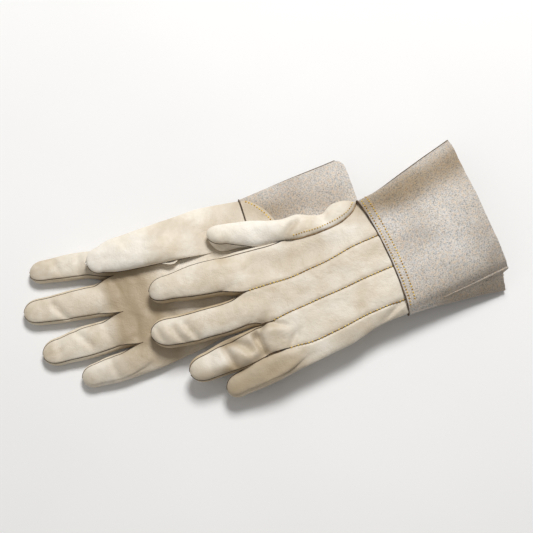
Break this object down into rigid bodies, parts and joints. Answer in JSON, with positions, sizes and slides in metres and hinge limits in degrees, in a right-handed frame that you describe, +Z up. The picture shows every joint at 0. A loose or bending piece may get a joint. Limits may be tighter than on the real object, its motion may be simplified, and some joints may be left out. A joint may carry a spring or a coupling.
{
  "type": "beekeeping gloves",
  "caption": "Pair of beekeeping gloves: cream leather hands with fourchettes and flared grey suede gauntlets, the left lying back up on the right, which is palm up.",
  "frame": {"origin": "centre of the bounding box, at the ground that the gloves lie on", "axes": "+X towards the gauntlets' mouths, +Y towards the thumbs, +Z up"},
  "size_m": [0.433, 0.1958, 0.0435],
  "materials": {
    "grain_leather": "smooth cream grain leather, lightly creased",
    "side_leather": "greyer grain leather of the fourchettes and the thumb's underside",
    "split_suede": "napped grey split suede",
    "welt_leather": "dark rolled leather strip",
    "thread": "waxed yellow sewing thread"
  },
  "bodies": {
    "left_hand": {"left_palm": "grain_leather", "left_index_back_strip": "grain_leather", "left_middle_back_strip": "grain_leather", "left_ring_back_strip": "grain_leather", "left_little_back_strip": "grain_leather", "left_welt": "welt_leather"},
    "left_gauntlet": {"left_gauntlet_back": "split_suede", "left_gauntlet_palm": "split_suede", "left_vein_patch": "grain_leather", "left_gauntlet_stitching": "thread"},
    "left_index": {"left_index_back": "grain_leather", "left_index_palm": "grain_leather", "left_index_fourchette_lower": "side_leather"},
    "left_middle": {"left_middle_back": "grain_leather", "left_middle_palm": "grain_leather", "left_middle_fourchette_upper": "side_leather", "left_middle_fourchette_lower": "side_leather"},
    "left_ring": {"left_ring_back": "grain_leather", "left_ring_palm": "grain_leather", "left_ring_fourchette_upper": "side_leather", "left_ring_fourchette_lower": "side_leather"},
    "left_little": {"left_little_back": "grain_leather", "left_little_palm": "grain_leather", "left_little_fourchette_upper": "side_leather"},
    "left_thumb": {"left_thumb_outer": "grain_leather", "left_thumb_inner": "side_leather"},
    "right_hand": {"right_palm": "grain_leather", "right_index_back_strip": "grain_leather", "right_middle_back_strip": "grain_leather", "right_ring_back_strip": "grain_leather", "right_little_back_strip": "grain_leather", "right_welt": "welt_leather", "right_gauntlet_back": "split_suede", "right_gauntlet_palm": "split_suede", "right_vein_patch": "grain_leather", "right_patch_stitching": "thread"},
    "right_index": {"right_index_back": "grain_leather", "right_index_palm": "grain_leather", "right_index_fourchette_lower": "side_leather"},
    "right_middle": {"right_middle_back": "grain_leather", "right_middle_palm": "grain_leather", "right_middle_fourchette_upper": "side_leather", "right_middle_fourchette_lower": "side_leather"},
    "right_ring": {"right_ring_back": "grain_leather", "right_ring_palm": "grain_leather", "right_ring_fourchette_upper": "side_leather", "right_ring_fourchette_lower": "side_leather"},
    "right_little": {"right_little_back": "grain_leather", "right_little_palm": "grain_leather", "right_little_fourchette_upper": "side_leather"},
    "right_thumb": {"right_thumb_outer": "grain_leather", "right_thumb_inner": "side_leather"}
  },
  "joints": [
    {"name": "left_glove_lift", "type": "slide", "parent": "right_hand", "child": "left_hand", "axis": [0, 0, 1], "range_m": [0, 0.15]},
    {"name": "left_index_bend", "type": "hinge", "parent": "left_hand", "child": "left_index", "pos_m": [-0.02361, 0.00997, 0.0306], "axis": [0.0599, 0.9982, 0], "range_deg": [0, 60]},
    {"name": "left_middle_bend", "type": "hinge", "parent": "left_hand", "child": "left_middle", "pos_m": [-0.01906, -0.02677, 0.0306], "axis": [0.0416, 0.9991, 0], "range_deg": [0, 60]},
    {"name": "left_ring_bend", "type": "hinge", "parent": "left_hand", "child": "left_ring", "pos_m": [-0.00758, -0.05731, 0.0306], "axis": [-0.102, 0.9948, 0], "range_deg": [0, 60]},
    {"name": "left_little_bend", "type": "hinge", "parent": "left_hand", "child": "left_little", "pos_m": [0.00033, -0.08216, 0.0306], "axis": [-0.12, 0.9928, 0], "range_deg": [0, 60]},
    {"name": "left_thumb_bend", "type": "hinge", "parent": "left_hand", "child": "left_thumb", "pos_m": [0.04058, 0.03724, 0.0306], "axis": [0.1689, 0.9856, 0], "range_deg": [0, 60]},
    {"name": "right_index_bend", "type": "hinge", "parent": "right_hand", "child": "right_index", "pos_m": [-0.15286, 0.06368, 0.014], "axis": [0.1376, 0.9905, 0], "range_deg": [0, 75]},
    {"name": "right_middle_bend", "type": "hinge", "parent": "right_hand", "child": "right_middle", "pos_m": [-0.13518, 0.02702, 0.014], "axis": [0.092, 0.9958, 0], "range_deg": [0, 75]},
    {"name": "right_ring_bend", "type": "hinge", "parent": "right_hand", "child": "right_ring", "pos_m": [-0.13548, -0.00747, 0.014], "axis": [-0.0171, 0.9999, 0], "range_deg": [0, 75]},
    {"name": "right_little_bend", "type": "hinge", "parent": "right_hand", "child": "right_little", "pos_m": [-0.12575, -0.03806, 0.014], "axis": [-0.0331, 0.9995, 0], "range_deg": [0, 75]},
    {"name": "right_thumb_bend", "type": "hinge", "parent": "right_hand", "child": "right_thumb", "pos_m": [-0.05038, 0.06078, 0.0275], "axis": [-0.0064, 1, 0], "range_deg": [0, 75]},
    {"name": "left_gauntlet_fold", "type": "hinge", "parent": "left_hand", "child": "left_gauntlet", "pos_m": [0.1082, -0.01301, 0.0306], "axis": [0.0958, -0.9954, 0], "range_deg": [0, 45]}
  ]
}
